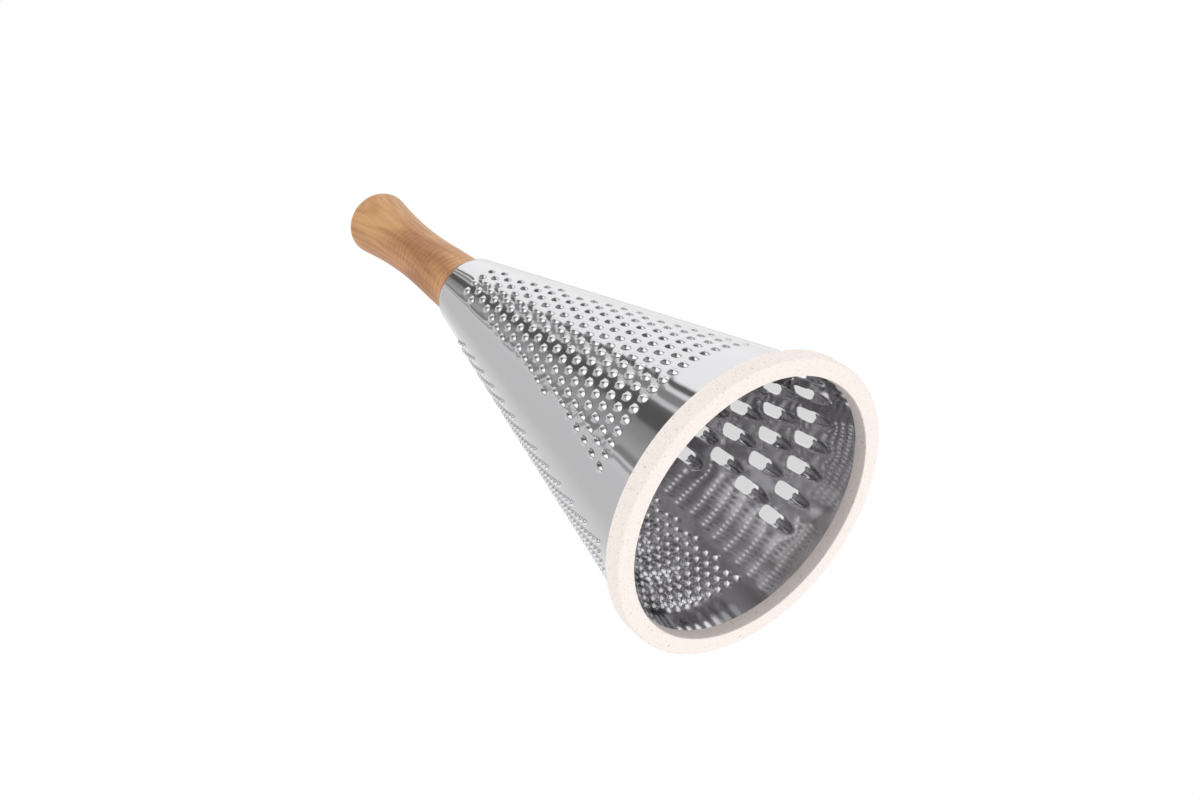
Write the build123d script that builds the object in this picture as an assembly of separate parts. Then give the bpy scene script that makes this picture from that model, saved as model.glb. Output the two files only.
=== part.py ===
from build123d import *
import math
import os

# Hand grater: a steel cone with three zones of punched teeth, a turned wooden handle on its
# narrow end and a pale moulded ring round its mouth. It stands on the ring, with the handle up.
# The frame's origin is the centre of the ring's lower face. Lengths are in millimetres and
# angles in degrees.

# Steel sheet, rolled to a cone and lapped; the radii are those of its outer face
foot_radius = 53.2
foot_height = 2.8
top_radius = 15.6
top_height = 183.3
sheet = 0.5
lap_width = 6.0
cone_sides = 48

# Moulded ring that takes the cone's foot in a groove; its widths are measured from the foot
ring_outer_width = 2.8
ring_inner_width = 3.6
ring_height = 7.1
ring_lip_height = 5.0
ring_bore_draft = 0.3
ring_edge_bevel = 0.7
ring_bore_bevel = 0.4
groove_clearance = 0.2

# Turned handle with a tenon that stands in the cone's narrow end
handle_length = 88.4
handle_foot_inset = 0.2
handle_foot_land = 0.6
handle_neck_radius = 13.3
handle_neck_height = 5.2
handle_neck_lean_share = 0.14
handle_throat_radius = 12.8
handle_throat_height = 13.0
handle_waist_radius = 11.6
handle_waist_height = 39.0
handle_swell_radius = 12.5
handle_swell_height = 65.0
handle_end_radius = 15.2
handle_end_lean_share = 0.16
handle_end_round = 4.6
handle_crown = 1.6
tenon_length = 16.0
tenon_clearance = 0.2
tenon_chamfer = 0.8

# Pressed cup, welded inside the narrow end, with the washer and screw that draw the handle down
cup_thickness = 1.2
cup_skirt_height = 7.0
cup_clearance = 0.05
cup_hole_clearance = 0.3
washer_thickness = 1.0
washer_radius = 6.5
washer_clearance = 0.2
screw_radius = 2.4
screw_grip = 30.0
screw_point = 5.0
screw_point_radius = 0.4
screw_head_radius = 4.8
screw_head_height = 3.0
screw_head_bevel = 1.2
screw_slot_width = 1.2
screw_slot_length = 5.6
screw_slot_depth = 1.6
pilot_clearance = 0.05

# Zones of teeth, a third of a turn apart
zone_angle = 120.0
medium_angle = -90.0
coarse_first_height = 25.4
coarse_row_step = 14.65
coarse_tooth_step = 10.9
coarse_first_count = 7
coarse_run_counts = (3, 3, 3, 1)
medium_first_height = 29.2
medium_row_step = 7.1
medium_tooth_step = 4.4
medium_first_count = 17
medium_run_counts = (7, 6, 5, 2)
fine_first_height = 19.4
fine_row_step = 3.7
fine_tooth_step = 4.39
fine_first_count = 21
fine_run_counts = (3,) * 13
plain_band = 16.0

# Coarse tooth: a scoop open towards the handle, over a hole in the sheet
scoop_width = 6.8
scoop_length = 8.6
scoop_rise = 2.0
scoop_shoulder_share = 0.6
scoop_waist_share = 0.55
scoop_waist_width_share = 0.76
coarse_hole_length = 7.3
coarse_hole_corner = 1.7
coarse_hole_end_share = 0.65

# Medium tooth: a raised ridge, undercut at the edge that faces the handle
ridge_width = 2.8
ridge_length = 4.2
ridge_rise = 0.95
ridge_overhang = 0.2

# Fine tooth: a burr raised round a punched point
spike_width = 2.8
spike_rise = 0.8

overrun = 1.0

# Worked out from the sizes above
cone_rise = top_height - foot_height
cone_slope = (foot_radius - top_radius) / cone_rise
lean = math.degrees(math.atan(cone_slope))
wall = sheet * math.hypot(cone_slope, 1)
coarse_angle = medium_angle + zone_angle
fine_angle = medium_angle - zone_angle
lap_angle = medium_angle + zone_angle / 2
tenon_foot = top_height - tenon_length
cup_floor = tenon_foot - cup_thickness
washer_floor = cup_floor - washer_thickness
screw_tip = washer_floor + screw_grip
handle_end = top_height + handle_length
handle_foot_radius = top_radius - handle_foot_inset
ring_radius = foot_radius + ring_outer_width
ring_bore_radius = foot_radius - ring_inner_width


def outer_radius(height):
    """Radius of the cone's outer face at a height."""
    return foot_radius - cone_slope * (height - foot_height)


def inner_radius(height):
    """Radius of the cone's inner face at a height."""
    return outer_radius(height) - wall


def turned(profile):
    """Turns a closed outline of lines and curves, drawn as radius and height, round the axis."""
    return revolve(make_face(Plane.XZ * profile), Axis.Z, 360)


def faceted_cone(radius_at, low, high):
    """Solid cone of narrow flats, whose middles lie at the given radii."""
    foot = RegularPolygon(radius_at(low), cone_sides, major_radius=False)
    return Pos(0, 0, low) * extrude(foot, high - low, taper=lean)


def place_on_cone(height, angle):
    """Frame on the cone's outer face: X round it, Y up its slope, Z out of it."""
    turn = math.radians(angle)
    tilt = math.radians(lean)
    radius = outer_radius(height)
    across = (-math.sin(turn), math.cos(turn), 0)
    out = (math.cos(turn) * math.cos(tilt), math.sin(turn) * math.cos(tilt), math.sin(tilt))
    origin = (radius * math.cos(turn), radius * math.sin(turn), height)
    return Plane(origin, x_dir=across, z_dir=out).location


def row_counts(first, runs):
    """Teeth in each row: one fewer from row to row, and one more where a new run starts."""
    counts = []
    count = first
    for run, rows in enumerate(runs):
        if run:
            count += 2
        for _ in range(rows):
            counts.append(count)
            count -= 1
    return counts


def zone_places(middle, first_height, row_step, tooth_step, counts):
    """Frames of all the teeth of a zone, row by row up to the plain band under the handle."""
    places = []
    for row, count in enumerate(counts):
        height = first_height + row_step * row
        if height > top_height - plain_band:
            break
        step = math.degrees(tooth_step / outer_radius(height))
        for tooth in range(count):
            offset = tooth - (count - 1) / 2
            places.append(place_on_cone(height, middle + step * offset))
    return places


def flat_face(corners):
    """Flat face through its corners."""
    return Face(Wire.make_polygon(corners, close=True))


def tapering_solid(arch, depth, sections, tip):
    """Flat-sided solid through copies of an arch across a tooth, closed at a sunk tip.

    The arch is a list of (across, out) corners. Each section is its place up the slope and the
    share to which the arch is shrunk there, towards its base line at the given depth.
    """
    rings = []
    for place, share in sections:
        rings.append([Vector(x * share, place, (z + depth) * share - depth) for x, z in arch])
    rings.append([Vector(0, tip, -depth)] * len(arch))
    faces = [flat_face(rings[0])]
    for near, far in zip(rings, rings[1:]):
        for i in range(len(arch)):
            corners = [near[i - 1], near[i], far[i], far[i - 1]]
            faces.append(flat_face(corners if far is not rings[-1] else corners[:3]))
    return Solid(Shell(faces))


def scoop_arch(inset, depth):
    """Corners of a coarse tooth's mouth, from its sunk base line to its shoulders."""
    half = scoop_width / 2 - inset
    top = scoop_rise - inset
    shoulder = half * scoop_shoulder_share
    return [(-half, -depth), (half, -depth), (shoulder, top), (-shoulder, top)]


def coarse_scoop():
    """Outer body of a coarse tooth, which falls in two steps to a tip down the slope."""
    sections = [(0, 1), (-scoop_length * scoop_waist_share, scoop_waist_width_share)]
    return tapering_solid(scoop_arch(0, sheet), sheet, sections, -scoop_length)


def coarse_cutter():
    """Hollow under a coarse scoop and, before its mouth, the hole in the sheet."""
    depth = 3 * sheet
    sections = [(coarse_hole_length, coarse_hole_end_share),
                (coarse_hole_length - coarse_hole_corner, 1), (0, 1)]
    return tapering_solid(scoop_arch(sheet, depth), depth, sections, sheet - scoop_length)


def medium_ridge():
    """Medium tooth: its edge overhangs the mouth, and its back falls to a tip."""
    half = ridge_width / 2
    root = -sheet / 2
    left = Vector(-half, 0, root)
    right = Vector(half, 0, root)
    edge = Vector(0, ridge_overhang, ridge_rise)
    tip = Vector(0, -ridge_length, root)
    return Solid(Shell([flat_face([left, right, edge]), flat_face([left, right, tip]),
                        flat_face([left, edge, tip]), flat_face([right, edge, tip])]))


def fine_spike():
    """Fine tooth: a low three-sided point."""
    root = []
    for turn in (90, 210, 330):
        angle = math.radians(turn)
        root.append(Vector(spike_width / 2 * math.cos(angle), spike_width / 2 * math.sin(angle),
                           -sheet / 2))
    point = Vector(0, 0, spike_rise)
    sides = [flat_face([root[i - 1], root[i], point]) for i in range(3)]
    return Solid(Shell([flat_face(root)] + sides))


def grater_cone():
    """The rolled sheet with its lap and its three zones of teeth."""
    coarse = zone_places(coarse_angle, coarse_first_height, coarse_row_step, coarse_tooth_step,
                         row_counts(coarse_first_count, coarse_run_counts))
    medium = zone_places(medium_angle, medium_first_height, medium_row_step, medium_tooth_step,
                         row_counts(medium_first_count, medium_run_counts))
    fine = zone_places(fine_angle, fine_first_height, fine_row_step, fine_tooth_step,
                       row_counts(fine_first_count, fine_run_counts))
    middle = (foot_height + top_height) / 2
    lap = place_on_cone(middle, lap_angle) * Box(lap_width, cone_rise * wall / sheet, 2 * sheet)
    ends = Pos(0, 0, middle) * Box(3 * foot_radius, 3 * foot_radius, cone_rise)
    raised = [lap & ends]
    for places, tooth in ((coarse, coarse_scoop()), (medium, medium_ridge()),
                          (fine, fine_spike())):
        raised += [place * tooth for place in places]
    blank = faceted_cone(outer_radius, foot_height, top_height).fuse(*raised)
    shell = blank.cut(faceted_cone(inner_radius, foot_height - overrun, top_height + overrun))
    cutter = coarse_cutter()
    return shell.cut(*[place * cutter for place in coarse])


def base_ring():
    """Ring with a leaning groove for the cone's foot and a lower lip inside it."""
    outer_wall = outer_radius(ring_height) + groove_clearance
    groove_outside = outer_radius(foot_height) + groove_clearance
    groove_inside = inner_radius(foot_height) - groove_clearance
    lip_outside = inner_radius(ring_lip_height) - groove_clearance
    bevel = ring_edge_bevel
    outline = Polyline((ring_bore_radius + ring_bore_bevel, 0), (ring_radius - bevel, 0),
                       (ring_radius, bevel), (ring_radius, ring_height - bevel),
                       (ring_radius - bevel, ring_height), (outer_wall, ring_height),
                       (groove_outside, foot_height), (groove_inside, foot_height),
                       (lip_outside, ring_lip_height),
                       (ring_bore_radius - ring_bore_draft, ring_lip_height),
                       (ring_bore_radius, ring_bore_bevel), close=True)
    ring = turned(outline)
    relief_width = lap_width + 2 * groove_clearance
    relief_height = 2 * (ring_height - foot_height)
    relief_depth = 2 * (sheet + groove_clearance)
    relief = Box(relief_width, relief_height, relief_depth)
    place = place_on_cone(foot_height, lap_angle) * Pos(0, relief_height / 2, 0)
    groove_cut = place * relief & Pos(0, 0, ring_height) * Box(
        3 * ring_radius, 3 * ring_radius, 2 * (ring_height - foot_height))
    return ring - groove_cut


def handle():
    """Turned handle: short flare at the foot, long drawn-in waist and a rounded, wider end."""
    tenon_radius = inner_radius(top_height) - tenon_clearance
    foot = top_height
    neck = (handle_neck_radius, foot + handle_neck_height)
    flare_foot = (handle_foot_radius, foot + handle_foot_land)
    end_corner = (handle_end_radius, handle_end - handle_crown)
    shoulder = Polyline((0, tenon_foot), (tenon_radius - tenon_chamfer, tenon_foot),
                        (tenon_radius, tenon_foot + tenon_chamfer), (tenon_radius, foot),
                        (handle_foot_radius, foot), flare_foot)
    flare = TangentArc(neck, flare_foot, tangent=(handle_neck_lean_share, -1))
    side = Spline(neck, (handle_throat_radius, foot + handle_throat_height),
                  (handle_waist_radius, foot + handle_waist_height),
                  (handle_swell_radius, foot + handle_swell_height), end_corner,
                  tangents=((-handle_neck_lean_share, 1), (handle_end_lean_share, 1)))
    crown_radius = (handle_end_radius ** 2 + handle_crown ** 2) / (2 * handle_crown)
    turn = math.asin(handle_end_radius / crown_radius) / 2
    crown_middle = (crown_radius * math.sin(turn),
                    handle_end - crown_radius * (1 - math.cos(turn)))
    crown = ThreePointArc(end_corner, crown_middle, (0, handle_end))
    axis = Line((0, handle_end), (0, tenon_foot))
    section = make_face(shoulder + flare + side + crown + axis)
    rim = section.vertices().sort_by_distance(end_corner)[0]
    blank = revolve(Plane.XZ * fillet(rim, handle_end_round), Axis.Z, 360)
    pilot_radius = screw_radius + pilot_clearance
    pilot_length = screw_tip - tenon_foot
    pilot = Pos(0, 0, tenon_foot) * Cylinder(
        pilot_radius, pilot_length, align=(Align.CENTER, Align.CENTER, Align.MIN))
    return blank - pilot


def inner_cup():
    """Pressed cup: a floor under the tenon and a skirt that follows the cone's inner face."""
    skirt_top = cup_floor + cup_skirt_height
    floor_radius = inner_radius(cup_floor) - cup_clearance
    skirt_radius = inner_radius(skirt_top) - cup_clearance
    bend_radius = inner_radius(tenon_foot) - cup_clearance - cup_thickness
    hole_radius = screw_radius + cup_hole_clearance
    outline = Polyline((hole_radius, cup_floor), (floor_radius, cup_floor),
                       (skirt_radius, skirt_top), (skirt_radius - cup_thickness, skirt_top),
                       (bend_radius, tenon_foot), (hole_radius, tenon_foot), close=True)
    return turned(outline)


def screw_washer():
    """Plain washer under the screw's head."""
    inside = screw_radius + washer_clearance
    outline = Polyline((inside, washer_floor), (washer_radius, washer_floor),
                       (washer_radius, cup_floor), (inside, cup_floor), close=True)
    return turned(outline)


def handle_screw():
    """Round-headed wood screw with a crossed recess, driven up into the handle."""
    head_low = washer_floor - screw_head_height
    outline = Polyline((0, head_low), (screw_head_radius - screw_head_bevel, head_low),
                       (screw_head_radius, head_low + screw_head_bevel),
                       (screw_head_radius, washer_floor), (screw_radius, washer_floor),
                       (screw_radius, screw_tip - screw_point), (screw_point_radius, screw_tip),
                       (0, screw_tip), close=True)
    screw = turned(outline)
    slot = Box(screw_slot_length, screw_slot_width, 2 * screw_slot_depth)
    return screw - Pos(0, 0, head_low) * (slot + Rot(0, 0, 90) * slot)


pieces = {
    "grater_cone": grater_cone,
    "base_ring": base_ring,
    "handle": handle,
    "inner_cup": inner_cup,
    "screw_washer": screw_washer,
    "handle_screw": handle_screw,
}

os.makedirs("parts", exist_ok=True)
for name, make in pieces.items():
    piece = make()
    piece.label = name
    export_step(piece, f"parts/{name}.step")
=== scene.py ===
import math

import bpy
import numpy as np
from mathutils import Matrix, Vector
from mathutils.geometry import delaunay_2d_cdt


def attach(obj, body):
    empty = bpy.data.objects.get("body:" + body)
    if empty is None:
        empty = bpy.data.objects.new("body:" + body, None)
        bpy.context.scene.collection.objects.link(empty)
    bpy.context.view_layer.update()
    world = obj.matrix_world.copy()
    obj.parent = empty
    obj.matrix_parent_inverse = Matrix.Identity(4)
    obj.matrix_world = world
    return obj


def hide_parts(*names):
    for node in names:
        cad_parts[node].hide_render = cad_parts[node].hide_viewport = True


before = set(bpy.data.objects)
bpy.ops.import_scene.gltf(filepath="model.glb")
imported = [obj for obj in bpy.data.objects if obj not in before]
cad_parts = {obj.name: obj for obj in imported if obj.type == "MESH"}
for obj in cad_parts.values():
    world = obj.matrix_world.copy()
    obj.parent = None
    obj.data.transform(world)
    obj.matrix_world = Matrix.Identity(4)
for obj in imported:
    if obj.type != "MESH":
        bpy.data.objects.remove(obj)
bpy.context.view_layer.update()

# Sizes of the grater are in millimetres, as on a drawing, and are turned to metres when a mesh is made.
# Angles are in degrees. A tooth's own x runs across it, and its y up the slope from its mouth.
MM = 0.001

# Steel sheet: a cone whose foot stands in the ring and whose top holds the handle
FOOT_RADIUS = 53.2
FOOT_HEIGHT = 2.8
TOP_RADIUS = 15.6
TOP_HEIGHT = 183.3
SHEET = 0.5
SLOPE = (FOOT_RADIUS - TOP_RADIUS) / (TOP_HEIGHT - FOOT_HEIGHT)
LEAN = math.atan(SLOPE)

# Unrolled, the sheet is a sector round its tip: its outer and inner reach from there and half its turn.
FOOT_REACH = FOOT_RADIUS / math.sin(LEAN)
TOP_REACH = TOP_RADIUS / math.sin(LEAN)
HALF_TURN = math.pi * math.sin(LEAN)

# Seam: how far the ends lap, the ramp on which one climbs over the other, and how far it climbs as a
# share of the sheet's thickness
SEAM_ANGLE = -30.0
LAP_WIDTH = 6.0
LAP_RAMP = 5.0
LAP_RISE_SHARE = 1.04

# The upper edge is broken round over this width, where the outer face has this slope at the very edge.
EDGE_ROUNDING = 0.8
EDGE_SLOPE = -0.9

# The punch stretches the sheet: this much thinner where it stands out this far or further
THINNING = 0.2
THINNING_LIFT = 0.8

# Points of the plain sheet: along its foot, its top and each side, its rows, and the steps along a row
FOOT_POINTS = 220
TOP_POINTS = 100
SIDE_POINTS = 64
NET_ROWS = 64
NET_STEPS = (2.5, 2.6)

# Coarse tooth: a scoop, highest at its mouth, that runs out to a tip. Flare says how softly it runs out
# into the flat sheet, and arch and taper are the powers of its outline across and along it. Its points
# lie on nested outlines, from just outside its border to its middle line. Each sweeps from one side of
# the tip to the other, up to a margin below the mouth, and four points stand beside the mouth.
COARSE_HALF, COARSE_LENGTH, COARSE_RISE, COARSE_FLARE = 3.05, 8.8, 1.9, 0.12
COARSE_ARCH, COARSE_TAPER = 2.0, 1.9
COARSE_SHARES = (1.21, 1.16, 1.11, 1.06, 1.02, 0.98, 0.94, 0.89, 0.83, 0.76, 0.67, 0.57, 0.47, 0.36,
                 0.25, 0.13)
COARSE_BORDER_SHARE = 1.2
COARSE_COUNTS = (41, 31, 19)
COARSE_SWEEP = 89
COARSE_MARGIN = 0.42
COARSE_BESIDE = (3.3, 0.35)

# Its hole: the mouth's edge waves a little, the sides are straight and the two corners are round
HOLE_HALF = 2.75
HOLE_MOUTH_WAVE = 0.3
HOLE_MOUTH_POINTS = 23
HOLE_SIDE = (1.0, 2.2, 3.4, 4.3)
HOLE_CORNER = 2.2
HOLE_CORNER_PLACE = (0.55, 4.8)
HOLE_CORNER_POINTS = 7

# Medium tooth: a dome, cut off by its mouth, with a slit there. Its top lies a little below the mouth,
# and it is longer above its top than below. Round is the power of its outline. The slit's arc has its
# two angles and its points.
MEDIUM_HALF, MEDIUM_RISE, MEDIUM_FLARE, MEDIUM_ROUND = 1.6, 0.85, 0.08, 0.8
MEDIUM_TOP, MEDIUM_ABOVE, MEDIUM_BELOW = 1.5, 3.0, 2.7
MEDIUM_SHARES = (1.16, 1.06, 1.0, 0.94, 0.84, 0.70, 0.54, 0.36, 0.18)
MEDIUM_BORDER_SHARE = 1.12
MEDIUM_COUNTS = (24, 18, 9)
MEDIUM_MARGIN = 0.28
MEDIUM_BESIDE = 1.75
SLIT_HALF, SLIT_DEPTH = 1.25, 0.7
SLIT_MOUTH_POINTS = 11
SLIT_ARC = (15, 165, 8)

# Fine tooth: a small bowl pushed through from the inside, with a hole in its top. Its points lie on
# rings, each a radius and a count, those from the border outward in the flat sheet. Its room is the
# radius that it keeps free of the plain sheet's points.
FINE_RADIUS, FINE_RISE, FINE_FLARE, FINE_ROUND = 1.4, 0.84, 0.08, 2.2
FINE_HOLE, FINE_HOLE_POINTS = 0.2, 8
FINE_RINGS = ((0.62, 8), (0.88, 10), (1.12, 12), (1.31, 12), (1.44, 12), (1.60, 12))
FINE_BORDER = 1.5
FINE_ROOM = 1.95

# An outline of a tooth gets fewer points below each of these shares of its full size.
WIDE_SHARE, MIDDLING_SHARE = 0.8, 0.4

# Zones of teeth: the angle of the middle line, the height of the first row, the steps between rows and
# between teeth, the teeth in the first row and the rows of each run. Swell says how the sheet bends out
# round a tooth: how high, half how wide and long, and how far below its mouth. Room is what a tooth keeps
# free of the plain sheet's points: half its width, its lower end and its upper end.
COARSE = {"angle": 30.0, "first": 25.4, "row": 14.65, "step": 10.9, "count": 7, "runs": (3, 3, 3, 1),
          "swell": (0.16, 3.8, 6.0, 2.0), "room": (4.1, -11.0, 7.7)}
MEDIUM = {"angle": -90.0, "first": 29.2, "row": 7.1, "step": 4.4, "count": 17, "runs": (7, 6, 5, 2),
          "swell": (0.1, 2.0, 3.0, 1.5), "room": (2.2, -4.9, 1.8)}
FINE = {"angle": 150.0, "first": 19.4, "row": 3.7, "step": 4.39, "count": 21, "runs": (3,) * 13}

# Room of a coarse hole, where no point of another tooth may lie
HOLE_ROOM = (2.9, -0.15, 7.15)

# How far from a tooth its swell counts, as a share of the swell's length
SWELL_REACH_SHARE = 3

# Step over which the slope of a tooth is taken, and the distances taken as no distance on the sheet
SLOPE_STEP = 0.02
SAME_REACH = 1e-6
SAME_POINT = 1e-5

# Camera, found by fitting circles of the cone, ring and handle to the photograph. Its places are in
# metres, and its view is turned from looking straight at the upright axis.
IMAGE_WIDTH = 1200
IMAGE_HEIGHT = 800
FOCAL_PIXELS = 1348.85
SENSOR_WIDTH = 36.0
CLIP_START = 0.01
CAMERA_AZIMUTH = -108.7
CAMERA_REACH = 0.36639
CAMERA_HEIGHT = -0.25834
VIEW_AZIMUTH = 0.35
VIEW_ELEVATION = 43.29
VIEW_ROLL = -52.27


def make_camera():
    """Camera at the photograph's place, below the mouth and rolled."""
    azimuth = math.radians(CAMERA_AZIMUTH + 180 + VIEW_AZIMUTH)
    elevation = math.radians(VIEW_ELEVATION)
    roll = math.radians(VIEW_ROLL)
    forward = Vector((math.cos(azimuth) * math.cos(elevation),
                      math.sin(azimuth) * math.cos(elevation), math.sin(elevation)))
    level = forward.cross(Vector((0, 0, 1))).normalized()
    rise = level.cross(forward)
    right = level * math.cos(roll) + rise * math.sin(roll)
    up = rise * math.cos(roll) - level * math.sin(roll)
    data = bpy.data.cameras.new("photo_camera")
    data.sensor_width = SENSOR_WIDTH
    data.lens = SENSOR_WIDTH * FOCAL_PIXELS / IMAGE_WIDTH
    data.clip_start = CLIP_START
    camera = bpy.data.objects.new("photo_camera", data)
    about_axis = Matrix.Rotation(math.radians(CAMERA_AZIMUTH), 3, "Z")
    place = about_axis @ Vector((CAMERA_REACH, 0, CAMERA_HEIGHT))
    axes = Matrix((right, up, -forward)).transposed().to_4x4()
    camera.matrix_world = Matrix.Translation(place) @ axes
    bpy.context.scene.collection.objects.link(camera)
    bpy.context.scene.camera = camera


make_camera()
bpy.context.scene.view_settings.view_transform = "Standard"


# Teeth

def row_counts(zone):
    """Teeth in each row: one fewer from row to row, and one more where a new run starts."""
    counts = []
    count = zone["count"]
    for run, rows in enumerate(zone["runs"]):
        if run:
            count += 2
        for _ in range(rows):
            counts.append(count)
            count -= 1
    return counts


def zone_places(zone):
    """Height and angle of each tooth of a zone."""
    places = []
    for row, count in enumerate(row_counts(zone)):
        height = zone["first"] + zone["row"] * row
        radius = FOOT_RADIUS - SLOPE * (height - FOOT_HEIGHT)
        step = math.degrees(zone["step"] / radius)
        for tooth in range(count):
            places.append((height, zone["angle"] + step * (tooth - (count - 1) / 2)))
    return places


def flared(rise, flare):
    """A rise that runs out softly into the flat sheet where it would go below it."""
    return flare * np.logaddexp(0, rise / flare)


def outline_count(share, counts):
    """Points of an outline of a tooth, from the counts for a wide, a middling and a small one."""
    if share > WIDE_SHARE:
        return counts[0]
    return counts[1] if share > MIDDLING_SHARE else counts[2]


def coarse_height(x, y):
    """How far a coarse tooth stands out."""
    along = np.clip(-y / COARSE_LENGTH, 0, None) ** COARSE_TAPER
    return flared(COARSE_RISE * (1 - np.abs(x / COARSE_HALF) ** COARSE_ARCH - along), COARSE_FLARE)


def coarse_hole():
    """Outline of a coarse hole in order: mouth, side, two corners and side, as (x, y, raised)."""
    edge = []
    for x in np.linspace(-HOLE_HALF, HOLE_HALF, HOLE_MOUTH_POINTS):
        wave = HOLE_MOUTH_WAVE * math.cos(2 * math.pi * x / HOLE_HALF)
        edge.append((x, wave * (1 - (x / HOLE_HALF) ** 2), 1))
    edge += [(HOLE_HALF, y, 0) for y in HOLE_SIDE]
    across, along = HOLE_CORNER_PLACE
    for middle, start in ((across, 0), (-across, 90)):
        for a in np.radians(np.linspace(start, start + 90, HOLE_CORNER_POINTS)):
            edge.append((middle + HOLE_CORNER * math.cos(a), along + HOLE_CORNER * math.sin(a), 0))
    edge += [(-HOLE_HALF, y, 0) for y in HOLE_SIDE[::-1]]
    return edge


def coarse_template():
    """Points of a coarse tooth: its hole's outline, and nested outlines of the scoop."""
    body = []
    for share in COARSE_SHARES:
        raised = 1 if share < COARSE_BORDER_SHARE else 0
        count = outline_count(share, COARSE_COUNTS)
        for a in np.radians(np.linspace(-COARSE_SWEEP, COARSE_SWEEP, count)):
            x = COARSE_HALF * (share * abs(math.sin(a))) ** (2 / COARSE_ARCH)
            y = -COARSE_LENGTH * (share * math.cos(a)) ** (2 / COARSE_TAPER)
            if y < -COARSE_MARGIN:
                body.append((math.copysign(x, a), y, raised))
    x, y = COARSE_BESIDE
    body += [(-x, -y, 0), (x, -y, 0), (-x, y, 0), (x, y, 0)]
    return coarse_hole(), body


def medium_height(x, y):
    """How far a medium tooth stands out."""
    along = (y + MEDIUM_TOP) / np.where(y > -MEDIUM_TOP, MEDIUM_ABOVE, MEDIUM_BELOW)
    out = (x / MEDIUM_HALF) ** 2 + along ** 2
    return flared(MEDIUM_RISE * (1 - out ** MEDIUM_ROUND), MEDIUM_FLARE)


def medium_template():
    """Points of a medium tooth: its slit's outline, and nested outlines of the dome."""
    edge = [(x, 0.0, 1) for x in np.linspace(-SLIT_HALF, SLIT_HALF, SLIT_MOUTH_POINTS)]
    for a in np.radians(np.linspace(*SLIT_ARC)):
        edge.append((SLIT_HALF * math.cos(a), SLIT_DEPTH * math.sin(a), 0))
    body = []
    for share in MEDIUM_SHARES:
        raised = 1 if share < MEDIUM_BORDER_SHARE else 0
        count = outline_count(share, MEDIUM_COUNTS)
        for a in np.radians(np.linspace(-180, 180, count, endpoint=False)):
            length = MEDIUM_ABOVE if abs(a) < math.pi / 2 else MEDIUM_BELOW
            y = -MEDIUM_TOP + length * share * math.cos(a)
            if y < -MEDIUM_MARGIN:
                body.append((MEDIUM_HALF * share * math.sin(a), y, raised))
    body += [(0, -MEDIUM_TOP, 1), (-MEDIUM_BESIDE, 0.0, 0), (MEDIUM_BESIDE, 0.0, 0)]
    return edge, body


def fine_height(x, y):
    """How far a fine tooth stands out."""
    return flared(FINE_RISE * (1 - (np.hypot(x, y) / FINE_RADIUS) ** FINE_ROUND), FINE_FLARE)


def fine_template():
    """Points of a fine tooth: its hole's outline, and rings of points that take turns."""
    edge = []
    for i in range(FINE_HOLE_POINTS):
        a = 2 * math.pi * i / FINE_HOLE_POINTS
        edge.append((FINE_HOLE * math.cos(a), FINE_HOLE * math.sin(a), 1))
    body = []
    for ring, (radius, count) in enumerate(FINE_RINGS):
        raised = 1 if radius < FINE_BORDER else 0
        for i in range(count):
            a = 2 * math.pi * (i + 0.5 * (ring % 2)) / count
            body.append((radius * math.cos(a), radius * math.sin(a), raised))
    return edge, body


# Each zone with the function for its tooth's points and the one for its height
TEETH = (
    (COARSE, coarse_template, coarse_height),
    (MEDIUM, medium_template, medium_height),
    (FINE, fine_template, fine_height),
)


# Unrolled sheet

def flat_place(height, angle):
    """Centre of a tooth on the unrolled sheet, whose tip is the origin, and its turn there."""
    radius = FOOT_RADIUS - SLOPE * (height - FOOT_HEIGHT)
    reach = radius / math.sin(LEAN)
    from_middle = (angle - SEAM_ANGLE) % 360 - 180
    turn = math.radians(from_middle) * math.sin(LEAN)
    return np.array([reach * math.sin(turn), -reach * math.cos(turn)]), turn


def teeth_points():
    """Points of all teeth on the unrolled sheet, with their lift and slope, holes and places."""
    flat, lift, tilt, loops, teeth = [], [], [], [], []
    base = 0
    for zone, template, height_of in TEETH:
        edge, body = template()
        x, y, raised = np.array(edge + body).T
        rise = height_of(x, y) * raised
        across = (height_of(x + SLOPE_STEP, y) - height_of(x - SLOPE_STEP, y)) / (2 * SLOPE_STEP)
        along = (height_of(x, y + SLOPE_STEP) - height_of(x, y - SLOPE_STEP)) / (2 * SLOPE_STEP)
        for height, angle in zone_places(zone):
            centre, turn = flat_place(height, angle)
            c, s = math.cos(turn), math.sin(turn)
            flat.append(centre + np.stack([x * c - y * s, x * s + y * c], 1))
            lift.append(rise)
            tilt.append(np.stack([across * raised, along * raised], 1))
            loops.append(list(range(base, base + len(edge))))
            teeth.append((zone, centre, turn))
            base += len(x)
    return flat, lift, tilt, loops, teeth


def in_tooth_frame(points, centre, turn):
    """Places of unrolled points as a tooth sees them: across it, and up the slope from its mouth."""
    away = points - centre
    c, s = math.cos(turn), math.sin(turn)
    return away[:, 0] * c + away[:, 1] * s, away[:, 1] * c - away[:, 0] * s


def within(x, y, room):
    """Which places lie in a room of a tooth."""
    half, low, high = room
    return (np.abs(x) < half) & (y > low) & (y < high)


def clear_of_holes(points, owner, teeth):
    """Which points lie in no coarse hole, where the next row's tooth may reach, or on its own edge."""
    clear = np.ones(len(points), bool)
    for index, (zone, centre, turn) in enumerate(teeth):
        if zone is COARSE:
            inside = within(*in_tooth_frame(points, centre, turn), HOLE_ROOM)
            clear &= ~(inside & (owner != index))
    return clear


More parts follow.
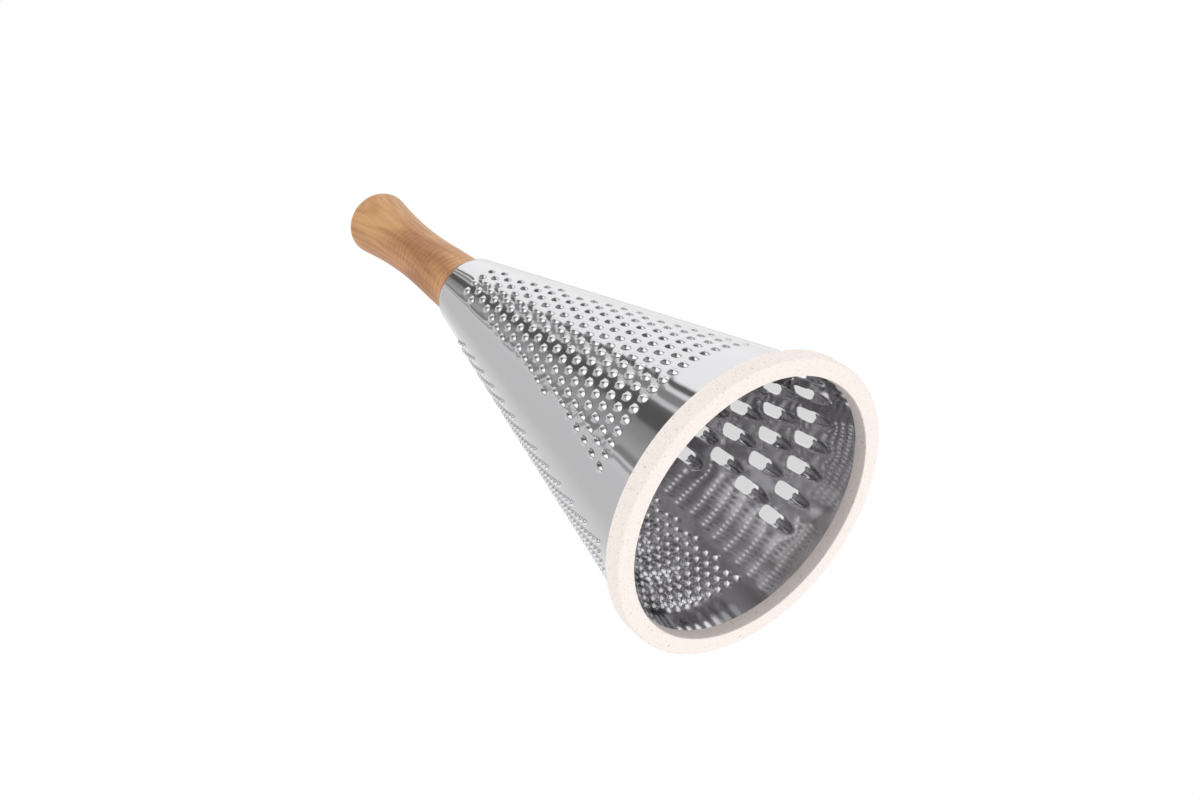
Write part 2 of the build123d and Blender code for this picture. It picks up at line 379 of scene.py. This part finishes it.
def swell(points, lift, tilt, teeth):
    """Bends the sheet a little outward round each coarse and medium tooth, as its punch leaves it."""
    for zone, centre, turn in teeth:
        if "swell" not in zone:
            continue
        height, half, length, back = zone["swell"]
        near = np.flatnonzero(np.abs(points - centre).max(axis=1) < SWELL_REACH_SHARE * length)
        x, y = in_tooth_frame(points[near], centre, turn)
        y = y + back
        rise = height * np.exp(-(x / half) ** 2 - (y / length) ** 2)
        lift[near] += rise
        tilt[near, 0] -= 2 * x / half ** 2 * rise
        tilt[near, 1] -= 2 * y / length ** 2 * rise


def at(reach, turn):
    """Point of the unrolled sheet at a reach from its tip and a turn from its middle line."""
    return (reach * math.sin(turn), -reach * math.cos(turn))


def side_turn(reach):
    """Turn of the sheet's side from its middle line: half the whole and half the lap."""
    return HALF_TURN + LAP_WIDTH / 2 / reach


def border_points():
    """The border of the unrolled sheet in order: foot, one side, top and the other side."""
    reaches = np.linspace(FOOT_REACH, TOP_REACH, SIDE_POINTS)
    foot, top = side_turn(FOOT_REACH), side_turn(TOP_REACH)
    border = [at(FOOT_REACH, turn) for turn in np.linspace(-foot, foot, FOOT_POINTS)]
    border += [at(reach, side_turn(reach)) for reach in reaches[1:-1]]
    border += [at(TOP_REACH, turn) for turn in np.linspace(top, -top, TOP_POINTS)]
    border += [at(reach, -side_turn(reach)) for reach in reaches[::-1][1:-1]]
    return np.array(border)


def net_points(teeth):
    """Points on the plain stretches of the sheet, clear of every tooth's room."""
    net = [at(TOP_REACH + EDGE_ROUNDING, t) for t in np.linspace(-HALF_TURN, HALF_TURN, TOP_POINTS)]
    for row in range(1, NET_ROWS):
        reach = FOOT_REACH + (TOP_REACH - FOOT_REACH) * row / NET_ROWS
        side = side_turn(reach)
        count = int(2 * (HALF_TURN * reach + LAP_WIDTH / 2) / NET_STEPS[row % 2])
        net += [at(reach, -side + 2 * side * i / count) for i in range(1, count)]
    net = np.array(net)
    clear = np.ones(len(net), bool)
    for zone, centre, turn in teeth:
        x, y = in_tooth_frame(net, centre, turn)
        inside = np.hypot(x, y) < FINE_ROOM if zone is FINE else within(x, y, zone["room"])
        clear &= ~inside
    return net[clear]


def in_hole(loop, points, place):
    """Whether a place lies inside a hole's outline."""
    inside = False
    ring = points[loop]
    for i in range(len(ring)):
        (x1, y1), (x2, y2) = ring[i - 1], ring[i]
        passes = (y1 > place[1]) != (y2 > place[1])
        if passes and place[0] < (x2 - x1) * (place[1] - y1) / (y2 - y1) + x1:
            inside = not inside
    return inside


def sheet_triangles(points, owner, loops, border):
    """Triangles between the points of the unrolled sheet, inside its border and outside its holes."""
    edges = []
    for loop in loops + [border]:
        edges += [(loop[i - 1], loop[i]) for i in range(len(loop))]
    inside_border = 1
    _, _, faces, origins, _, _ = delaunay_2d_cdt(
        [Vector(p) for p in points], edges, [], inside_border, SAME_POINT)
    if not all(origins):
        raise RuntimeError("crossing hole edges on the sheet")
    triangles = []
    for face in faces:
        a, b, c = (origins[i][0] for i in face)
        if owner[a] >= 0 and owner[a] == owner[b] == owner[c]:
            if in_hole(loops[owner[a]], points, (points[a] + points[b] + points[c]) / 3):
                continue
        triangles.append([a, b, c])
    return triangles


def make_sheet():
    """The unrolled sheet with all its teeth: points, how far each stands out, slopes and triangles."""
    flat, lift, tilt, loops, teeth = teeth_points()
    border, net = border_points(), net_points(teeth)
    base = sum(len(f) for f in flat)
    border_loop = list(range(base, base + len(border)))
    points = np.concatenate(flat + [border, net])
    extra = len(border) + len(net)
    lift = np.concatenate(lift + [np.zeros(extra)])
    tilt = np.concatenate(tilt + [np.zeros((extra, 2))])
    swell(points, lift, tilt, teeth)
    # The sheet's upper edge is broken round, so that it catches the light as a thin line.
    at_top = np.abs(np.hypot(points[:, 0], points[:, 1]) - TOP_REACH) < SAME_REACH
    tilt[at_top, 1] = EDGE_SLOPE
    owner = np.full(len(points), -1)
    for index, loop in enumerate(loops):
        owner[loop] = index
    clear = clear_of_holes(points, owner, teeth)
    renumbered = np.cumsum(clear) - 1
    loops = [renumbered[loop].tolist() for loop in loops]
    border_loop = renumbered[border_loop].tolist()
    triangles = sheet_triangles(points[clear], owner[clear], loops, border_loop)
    return points[clear], lift[clear], tilt[clear], triangles


# Rolled sheet

def new_object(name, verts, faces, normals=None):
    """Smooth mesh object from millimetre points, with one normal for each face corner if given."""
    mesh = bpy.data.meshes.new(name)
    mesh.from_pydata([Vector(v) * MM for v in verts], [], faces)
    mesh.update()
    mesh.shade_smooth()
    if normals is not None:
        mesh.normals_split_custom_set([Vector(n) for n in normals])
    obj = bpy.data.objects.new(name, mesh)
    bpy.context.scene.collection.objects.link(obj)
    return obj


def rolled(flat):
    """Point, outward normal, slope-line direction, round direction and turn of unrolled points."""
    reach = np.hypot(flat[:, 0], flat[:, 1])
    turn = np.arctan2(flat[:, 0], -flat[:, 1]) / math.sin(LEAN)
    theta = turn + math.radians(SEAM_ANGLE + 180)
    radius = reach * math.sin(LEAN)
    height = FOOT_HEIGHT + (FOOT_RADIUS - radius) / SLOPE
    ct, st = np.cos(theta), np.sin(theta)
    point = np.stack([radius * ct, radius * st, height], 1)
    cl, sl = math.cos(LEAN), math.sin(LEAN)
    normal = np.stack([ct * cl, st * cl, np.full_like(ct, sl)], 1)
    up = np.stack([-ct * sl, -st * sl, np.full_like(ct, cl)], 1)
    across = np.stack([-st, ct, np.zeros_like(ct)], 1)
    return point, normal, up, across, turn


def sheet_faces(points, lift, tilt):
    """Outer and inner points of the rolled sheet, and the outward normal at each."""
    point, normal, up, across, turn = rolled(points)
    reach = np.hypot(points[:, 0], points[:, 1])
    # The sheet's far end lies over its near end at the seam, one thickness further out.
    past = (turn - math.pi) * reach * math.sin(LEAN) + LAP_WIDTH / 2
    joggle = SHEET * LAP_RISE_SHARE * np.clip((past + LAP_RAMP) / LAP_RAMP, 0, 1)
    outer = point + normal * (lift + joggle)[:, None]
    bent = normal - across * tilt[:, :1] - up * tilt[:, 1:]
    bent /= np.linalg.norm(bent, axis=1)[:, None]
    thickness = SHEET - THINNING * np.clip(lift / THINNING_LIFT, 0, 1)
    return outer, outer - bent * thickness[:, None], bent


def make_cone():
    """The punched sheet, closed: its outer face, its inner face and a wall along each cut edge."""
    points, lift, tilt, triangles = make_sheet()
    outer, inner, bent = sheet_faces(points, lift, tilt)
    used = np.zeros(len(points), bool)
    used[np.array(triangles).ravel()] = True
    index = (np.cumsum(used) - 1).tolist()
    count = int(used.sum())
    verts = np.concatenate([outer[used], inner[used]])
    bent = bent[used]
    outside = [(index[a], index[b], index[c]) for a, b, c in triangles]
    inside = [(a + count, c + count, b + count) for a, b, c in outside]
    normals = [bent[i] for face in outside for i in face]
    normals += [-bent[i - count] for face in inside for i in face]
    edges = dict.fromkeys(edge for a, b, c in outside for edge in ((a, b), (b, c), (c, a)))
    walls = []
    for a, b in edges:
        if (b, a) not in edges:
            walls.append((b, a, a + count, b + count))
            level = np.cross(verts[a] - verts[b], verts[a + count] - verts[b])
            normals += [level / np.linalg.norm(level)] * 4
    return new_object("punched_cone", verts, outside + inside + walls, normals)


# Moulded ring: its outside, bore and height, the lip inside it and the groove round the sheet's foot
RING_RADIUS = 56.0
RING_BORE = 49.6
RING_HEIGHT = 7.1
RING_SIDES = 256
LIP_HEIGHT = 5.0
LIP_DRAFT = 0.3
GROOVE_CLEARANCE = 0.2
BORE_EDGE, OUTER_EDGE, LIP_EDGE = 0.4, 0.8, 0.2
BORE_POINTS, OUTER_POINTS, LIP_POINTS = 12, 8, 4


def arc(radius, height, edge, start, end, points):
    """Points of a rounded edge in the profile's plane."""
    return [(radius + edge * math.cos(math.radians(a)), height + edge * math.sin(math.radians(a)))
            for a in np.linspace(start, end, points)]


def lathe(name, profile, sides):
    """Turns a closed profile of (radius, height) points round the upright axis."""
    verts = []
    for i in range(sides):
        a = 2 * math.pi * i / sides
        verts += [(r * math.cos(a), r * math.sin(a), z) for r, z in profile]
    n = len(profile)
    faces = []
    for i in range(sides):
        j = (i + 1) % sides
        for k in range(n):
            m = (k + 1) % n
            faces.append((i * n + k, j * n + k, j * n + m, i * n + m))
    return new_object(name, verts, faces)


def make_ring():
    """Moulded ring with softly rounded edges and a lower lip inside it."""
    groove_out = FOOT_RADIUS + GROOVE_CLEARANCE
    groove_top = FOOT_RADIUS - SLOPE * (RING_HEIGHT - FOOT_HEIGHT) + GROOVE_CLEARANCE
    groove_in = FOOT_RADIUS - SHEET / math.cos(LEAN) - GROOVE_CLEARANCE
    lip_out = groove_in - SLOPE * (LIP_HEIGHT - FOOT_HEIGHT)
    lip_bore = RING_BORE - LIP_DRAFT
    profile = arc(RING_BORE + BORE_EDGE, BORE_EDGE, BORE_EDGE, 180, 270, BORE_POINTS)
    profile += arc(RING_RADIUS - OUTER_EDGE, OUTER_EDGE, OUTER_EDGE, -90, 0, OUTER_POINTS)
    profile += arc(RING_RADIUS - OUTER_EDGE, RING_HEIGHT - OUTER_EDGE, OUTER_EDGE, 0, 90,
                   OUTER_POINTS)
    profile += arc(groove_top + LIP_EDGE, RING_HEIGHT - LIP_EDGE, LIP_EDGE, 90, 180, LIP_POINTS)
    profile += [(groove_out, FOOT_HEIGHT), (groove_in, FOOT_HEIGHT), (lip_out, LIP_HEIGHT)]
    profile += arc(lip_bore + LIP_EDGE, LIP_HEIGHT - LIP_EDGE, LIP_EDGE, 90, 180, LIP_POINTS)
    return lathe("moulded_ring", profile, RING_SIDES)


# Materials

STEEL_COLOUR = (0.672, 0.664, 0.679)
STEEL_ROUGHNESS = 0.07
RING_ROUGHNESS = 0.6
WOOD_ROUGHNESS = 0.45
WHITE = (1.0, 1.0, 1.0)

# Wood: the side that its growth layers face, the place of its figure in metres, and the height and
# colour of the contact shadow painted on it where it meets the steel
GRAIN_ANGLE = 95.0
WOOD_SHIFT = (0.0, 0.0, -0.031)
JOINT_SHADOW_HEIGHT = 1.4
JOINT_SHADOW_COLOUR = (0.30, 0.20, 0.14)

# Hidden steel pieces: node, material, colour and roughness
HIDDEN_STEEL = (("inner_cup", "pressed_steel", (0.6, 0.6, 0.61), 0.35),
                ("screw_washer", "zinc_washer", (0.65, 0.66, 0.68), 0.3),
                ("handle_screw", "zinc_screw", (0.62, 0.63, 0.66), 0.28))


class Tree:
    """A node tree, with a short way to add a node and fill its sockets."""

    def __init__(self, tree):
        self.nodes = tree.nodes
        self.links = tree.links

    def fill(self, socket, value):
        """Links an output to a socket, or sets the socket to a value."""
        if isinstance(value, bpy.types.NodeSocket):
            self.links.new(value, socket)
        else:
            socket.default_value = value

    def add(self, kind, **sockets):
        """A new node. The name of a socket has underscores here for its spaces."""
        node = self.nodes.new("ShaderNode" + kind)
        for name, value in sockets.items():
            self.fill(node.inputs[name.replace("_", " ")], value)
        return node

    def work_out(self, operation, first, second):
        """The result of a math node's operation on two values."""
        node = self.add("Math")
        node.operation = operation
        self.fill(node.inputs[0], first)
        self.fill(node.inputs[1], second)
        return node.outputs[0]

    def object_coords(self):
        """The object's own coordinates, in metres."""
        return self.add("TexCoord").outputs["Object"]


def smooth_step(tree, value, span):
    """A soft step from 0 to 1 as a value goes through a span."""
    step = tree.add("MapRange", Value=value, From_Min=span[0], From_Max=span[1])
    step.interpolation_type = "SMOOTHSTEP"
    return step.outputs["Result"]


def blend(tree, share, first, second):
    """The first colour, or by a share the second."""
    return tree.add("MixRGB", Fac=share, Color1=first, Color2=second).outputs["Color"]


def multiplied(tree, first, second, share=1.0):
    """The first colour times the second, in full or by a share."""
    mix = tree.add("MixRGB", Fac=share, Color1=first, Color2=second)
    mix.blend_type = "MULTIPLY"
    return mix.outputs["Color"]


def two_colours(tree, value, stops):
    """Colours over a value, between a lower and an upper (place, colour)."""
    ramp = tree.add("ValToRGB", Fac=value)
    for element, (place, colour) in zip(ramp.color_ramp.elements, stops):
        element.position = place
        element.color = (*colour, 1)
    return ramp.outputs["Color"]


def noise_colours(tree, coords, scale, detail, stops, stretch=None):
    """Two colours in a noise pattern, which can be stretched along an axis."""
    if stretch:
        coords = tree.add("Mapping", Vector=coords, Scale=stretch).outputs["Vector"]
    noise = tree.add("TexNoise", Vector=coords, Scale=scale, Detail=detail)
    return two_colours(tree, noise.outputs["Fac"], stops)


def wave_colours(tree, coords, direction, scale, distortion, stops, turn=0.0, stretch=1.0):
    """Two colours in wavy bands, turned about the upright axis and stretched along it."""
    mapping = tree.add("Mapping", Vector=coords, Rotation=(0.0, 0.0, math.radians(turn)),
                       Scale=(1.0, 1.0, stretch))
    wave = tree.add("TexWave", Vector=mapping.outputs["Vector"], Scale=scale, Distortion=distortion,
                    Detail=3.0, Detail_Scale=0.8)
    wave.bands_direction = direction
    return two_colours(tree, wave.outputs["Fac"], stops)


def new_material(name, roughness):
    """A material with its tree and its shader."""
    mat = bpy.data.materials.new(name)
    mat.use_nodes = True
    shader = mat.node_tree.nodes["Principled BSDF"]
    shader.inputs["Roughness"].default_value = roughness
    return mat, Tree(mat.node_tree), shader


def add_grain(tree, shader, scale, detail, strength, distance):
    """A fine unevenness of the surface. The distance is in metres."""
    noise = tree.add("TexNoise", Vector=tree.object_coords(), Scale=scale, Detail=detail)
    bump = tree.add("Bump", Height=noise.outputs["Fac"], Strength=strength, Distance=distance)
    tree.fill(shader.inputs["Normal"], bump.outputs["Normal"])


def polished_steel():
    """Mirror-finish steel whose reflections waver a little."""
    mat, tree, shader = new_material("polished_steel", STEEL_ROUGHNESS)
    shader.inputs["Base Color"].default_value = (*STEEL_COLOUR, 1)
    shader.inputs["Metallic"].default_value = 1.0
    add_grain(tree, shader, scale=45.0, detail=3.0, strength=0.04, distance=0.001)
    return mat


def plain_steel(name, colour, roughness):
    """Steel as pressed or plated, for the pieces inside."""
    mat, tree, shader = new_material(name, roughness)
    shader.inputs["Base Color"].default_value = (*colour, 1)
    shader.inputs["Metallic"].default_value = 1.0
    add_grain(tree, shader, scale=400.0, detail=2.0, strength=0.1, distance=0.0005)
    return mat


def speckled_plastic():
    """Pale moulded plastic with two sizes of brown specks and a fine grain."""
    mat, tree, shader = new_material("speckled_plastic", RING_ROUGHNESS)
    coords = tree.object_coords()
    small = noise_colours(tree, coords, scale=1500.0, detail=1.0,
                          stops=((0.30, (0.80, 0.64, 0.55)), (0.38, WHITE)))
    large = noise_colours(tree, coords, scale=700.0, detail=2.0,
                          stops=((0.27, (0.72, 0.56, 0.46)), (0.33, (0.95, 0.865, 0.82))))
    tree.fill(shader.inputs["Base Color"], multiplied(tree, large, small, share=0.7))
    add_grain(tree, shader, scale=900.0, detail=2.0, strength=0.15, distance=0.0002)
    return mat


def turned_wood():
    """Oiled pale hardwood: clouds, grain lines, a curled figure, fibres, pores and a painted shadow at
    the steel.
    """
    mat, tree, shader = new_material("turned_wood", WOOD_ROUGHNESS)
    plain = tree.object_coords()
    coords = tree.add("Mapping", Vector=plain, Location=WOOD_SHIFT).outputs["Vector"]
    clouds = noise_colours(tree, coords, scale=34.0, detail=3.0, stretch=(1.0, 1.0, 0.45),
                           stops=((0.34, (0.36, 0.135, 0.044)), (0.60, (0.69, 0.37, 0.158))))
    grain = wave_colours(tree, coords, "X", scale=115.0, distortion=4.0, turn=GRAIN_ANGLE, stretch=0.22,
                         stops=((0.0, (0.80, 0.72, 0.62)), (0.45, WHITE)))
    curl = wave_colours(tree, coords, "Z", scale=95.0, distortion=9.0,
                        stops=((0.0, (0.88, 0.82, 0.75)), (0.6, (1.03, 1.03, 1.03))))
    curled = noise_colours(tree, coords, scale=30.0, detail=1.0,
                           stops=((0.46, (0.0, 0.0, 0.0)), (0.62, WHITE)))
    fibres = noise_colours(tree, coords, scale=700.0, detail=4.0, stretch=(1.0, 1.0, 0.045),
                           stops=((0.30, (0.78, 0.72, 0.66)), (0.60, WHITE)))
    pores = noise_colours(tree, coords, scale=1500.0, detail=2.0, stretch=(1.0, 1.0, 0.08),
                          stops=((0.30, (0.60, 0.50, 0.42)), (0.37, WHITE)))
    colour = multiplied(tree, clouds, grain, share=0.6)
    colour = multiplied(tree, colour, curl, share=curled)
    colour = multiplied(tree, colour, fibres, share=0.6)
    colour = multiplied(tree, colour, pores, share=0.5)
    # Painted contact shadow: where the wood meets the steel, its edge is darkened in the colour itself.
    height = tree.add("SeparateXYZ", Vector=plain).outputs["Z"]
    clear = smooth_step(tree, height, (TOP_HEIGHT * MM, (TOP_HEIGHT + JOINT_SHADOW_HEIGHT) * MM))
    edge = blend(tree, clear, (*JOINT_SHADOW_COLOUR, 1), (*WHITE, 1))
    tree.fill(shader.inputs["Base Color"], multiplied(tree, colour, edge))
    return mat


cone = make_cone()
cone.data.materials.append(polished_steel())
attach(cone, "root")
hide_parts("grater_cone")

ring = make_ring()
ring.data.materials.append(speckled_plastic())
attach(ring, "root")
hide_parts("base_ring")

dressed = {"handle": turned_wood()}
for node, name, colour, roughness in HIDDEN_STEEL:
    dressed[node] = plain_steel(name, colour, roughness)
for node, mat in dressed.items():
    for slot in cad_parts[node].material_slots:
        slot.material = mat


# Stage: half the floor's width and how far it lies below the part, in metres, and its grey
FLOOR_HALF = 25.0
FLOOR_DROP = 0.0002
FLOOR_GREY = 0.82

# Brightness round the studio as polished steel sees it, against the angle from the camera's side of the
# part, seen from above. The three rings are overhead, level and below.
OVERHEAD = ((-180, 0.85), (-150, 0.95), (-125, 0.80), (-97, 0.70), (-57, 0.72), (-49, 0.78),
            (-46.5, 0.34), (-45, 0.34), (-43.5, 0.80), (-41.5, 0.80), (-39.5, 0.26), (-34, 0.28),
            (-30, 0.46), (-8, 0.34), (-1, 0.30), (6, 0.12), (20, 0.12), (28, 0.16), (31, 0.75),
            (34, 0.75), (37, 0.30), (45, 0.28), (47.5, 0.95), (50.5, 0.95), (53, 0.12), (58, 0.12),
            (61, 1.15), (120, 1.15), (160, 0.95))
LEVEL = ((-180, 0.85), (-145, 0.5), (-120, 1.1), (-70, 1.3), (-56, 0.3), (-44, 0.35), (-34, 1.5),
         (25, 1.6), (48, 1.5), (62, 0.35), (76, 0.45), (95, 1.2), (150, 1.0))
BELOW = ((-180, 0.5), (-150, 0.3), (-120, 1.0), (-95, 0.4), (-75, 1.3), (-52, 0.5), (-38, 1.5),
         (-5, 1.5), (12, 1.2), (40, 1.5), (66, 0.4), (100, 1.1), (140, 0.3))

# Where one ring goes over into the next: spans of the upward part of a direction, 1 being straight up
LEVEL_TO_OVERHEAD = (0.46, 0.62)
BELOW_TO_LEVEL = (-0.15, 0.05)

# Soft light on what isn't polished: from above and the sides, from a little below, and from far below
ABOVE_LIGHT, BETWEEN_LIGHT, BELOW_LIGHT = 1.2, 0.35, 1.45
BETWEEN_TO_ABOVE = (-0.08, 0.04)
BETWEEN_TO_BELOW = (-0.50, -0.68)

# The photograph's backdrop, cut away round the part, still shows through its holes as pale grey: half
# angles of that patch's soft edge, seen from the camera, its brightness, and its middle in pixels of the
# photograph
BACKDROP_PATCH = (3.9, 3.3)
BACKDROP_GREY = 0.68
BACKDROP_TOWARDS = (760, 455)


def grey(value):
    """A grey of some brightness."""
    return (value, value, value, 1.0)


def floor_material():
    """Pale grey for the camera from above, and clear for everything else."""
    mat = bpy.data.materials.new("pale_floor")
    mat.use_nodes = True
    tree = Tree(mat.node_tree)
    tree.nodes.clear()
    camera_ray = tree.add("LightPath").outputs["Is Camera Ray"]
    backfacing = tree.add("NewGeometry").outputs["Backfacing"]
    pale = tree.add("BsdfDiffuse", Color=grey(FLOOR_GREY))
    mix = tree.add("MixShader", Fac=tree.work_out("SUBTRACT", camera_ray, backfacing))
    tree.fill(mix.inputs[1], tree.add("BsdfTransparent").outputs[0])
    tree.fill(mix.inputs[2], pale.outputs[0])
    tree.add("OutputMaterial", Surface=mix.outputs[0])
    return mat


def make_floor():
    """Pale floor that only the camera sees, and only from above."""
    mesh = bpy.data.meshes.new("floor")
    corners = [(x * FLOOR_HALF, y * FLOOR_HALF, -FLOOR_DROP)
               for x, y in ((-1, -1), (1, -1), (1, 1), (-1, 1))]
    mesh.from_pydata(corners, [], [(0, 1, 2, 3)])
    mesh.materials.append(floor_material())
    floor = bpy.data.objects.new("floor", mesh)
    bpy.context.scene.collection.objects.link(floor)


def brightness_round(tree, azimuth, stops):
    """Greys round the azimuth, through a list of (angle, brightness)."""
    ramp = tree.add("ValToRGB", Fac=azimuth)
    ramp.color_ramp.interpolation = "EASE"
    places = sorted((((angle + CAMERA_AZIMUTH + 180) % 360) / 360, value) for angle, value in stops)
    first, last = places[0], places[-1]
    gap = first[0] + 1 - last[0]
    ends = last[1] + (first[1] - last[1]) * (1 - last[0]) / gap
    places = [(0.0, ends)] + places + [(1.0, ends)]
    elements = ramp.color_ramp.elements
    while len(elements) < len(places):
        elements.new(0.5)
    for element, (place, _) in zip(elements, places):
        element.position = place
    for element, (_, value) in zip(elements, places):
        element.color = grey(value)
    return ramp.outputs["Color"]


def studio_light(tree, direction, upward):
    """What polished steel sees: the three rings of brightness, one over the other."""
    split = tree.add("SeparateXYZ", Vector=direction)
    angle = tree.work_out("ARCTAN2", split.outputs["Y"], split.outputs["X"])
    azimuth = tree.add("MapRange", Value=angle, From_Min=-math.pi, From_Max=math.pi).outputs["Result"]
    overhead, level, below = (brightness_round(tree, azimuth, stops)
                              for stops in (OVERHEAD, LEVEL, BELOW))
    upper = blend(tree, smooth_step(tree, upward, LEVEL_TO_OVERHEAD), level, overhead)
    return blend(tree, smooth_step(tree, upward, BELOW_TO_LEVEL), below, upper)


def soft_light(tree, upward):
    """Plain light on everything that isn't polished."""
    lifted = smooth_step(tree, upward, BETWEEN_TO_ABOVE)
    sunk = smooth_step(tree, upward, BETWEEN_TO_BELOW)
    soft = blend(tree, lifted, grey(BETWEEN_LIGHT), grey(ABOVE_LIGHT))
    return blend(tree, sunk, soft, grey(BELOW_LIGHT))


def backdrop_direction():
    """Direction from the camera through the middle of the holes that show the backdrop."""
    across = (BACKDROP_TOWARDS[0] - IMAGE_WIDTH / 2) / FOCAL_PIXELS
    down = (BACKDROP_TOWARDS[1] - IMAGE_HEIGHT / 2) / FOCAL_PIXELS
    axes = bpy.context.scene.camera.matrix_world.to_3x3()
    return (axes @ Vector((across, -down, -1))).normalized()


def backdrop(tree, direction):
    """What the camera sees: white, with a soft grey patch behind the holes."""
    towards = tree.add("VectorMath")
    towards.operation = "DOT_PRODUCT"
    tree.fill(towards.inputs[0], direction)
    tree.fill(towards.inputs[1], backdrop_direction())
    span = [math.cos(math.radians(angle)) for angle in BACKDROP_PATCH]
    inside = smooth_step(tree, towards.outputs["Value"], span)
    return blend(tree, inside, grey(1.0), grey(BACKDROP_GREY))


def make_world():
    """White surroundings, with the soft light and dark fields of a studio for the steel."""
    world = bpy.data.worlds.new("studio")
    world.use_nodes = True
    bpy.context.scene.world = world
    tree = Tree(world.node_tree)
    direction = tree.add("TexCoord").outputs["Generated"]
    upward = tree.add("SeparateXYZ", Vector=direction).outputs["Z"]
    path = tree.add("LightPath")
    studio = studio_light(tree, direction, upward)
    seen = blend(tree, path.outputs["Is Glossy Ray"], soft_light(tree, upward), studio)
    seen = blend(tree, path.outputs["Is Camera Ray"], seen, backdrop(tree, direction))
    tree.fill(tree.nodes["Background"].inputs["Color"], seen)


make_floor()
make_world()
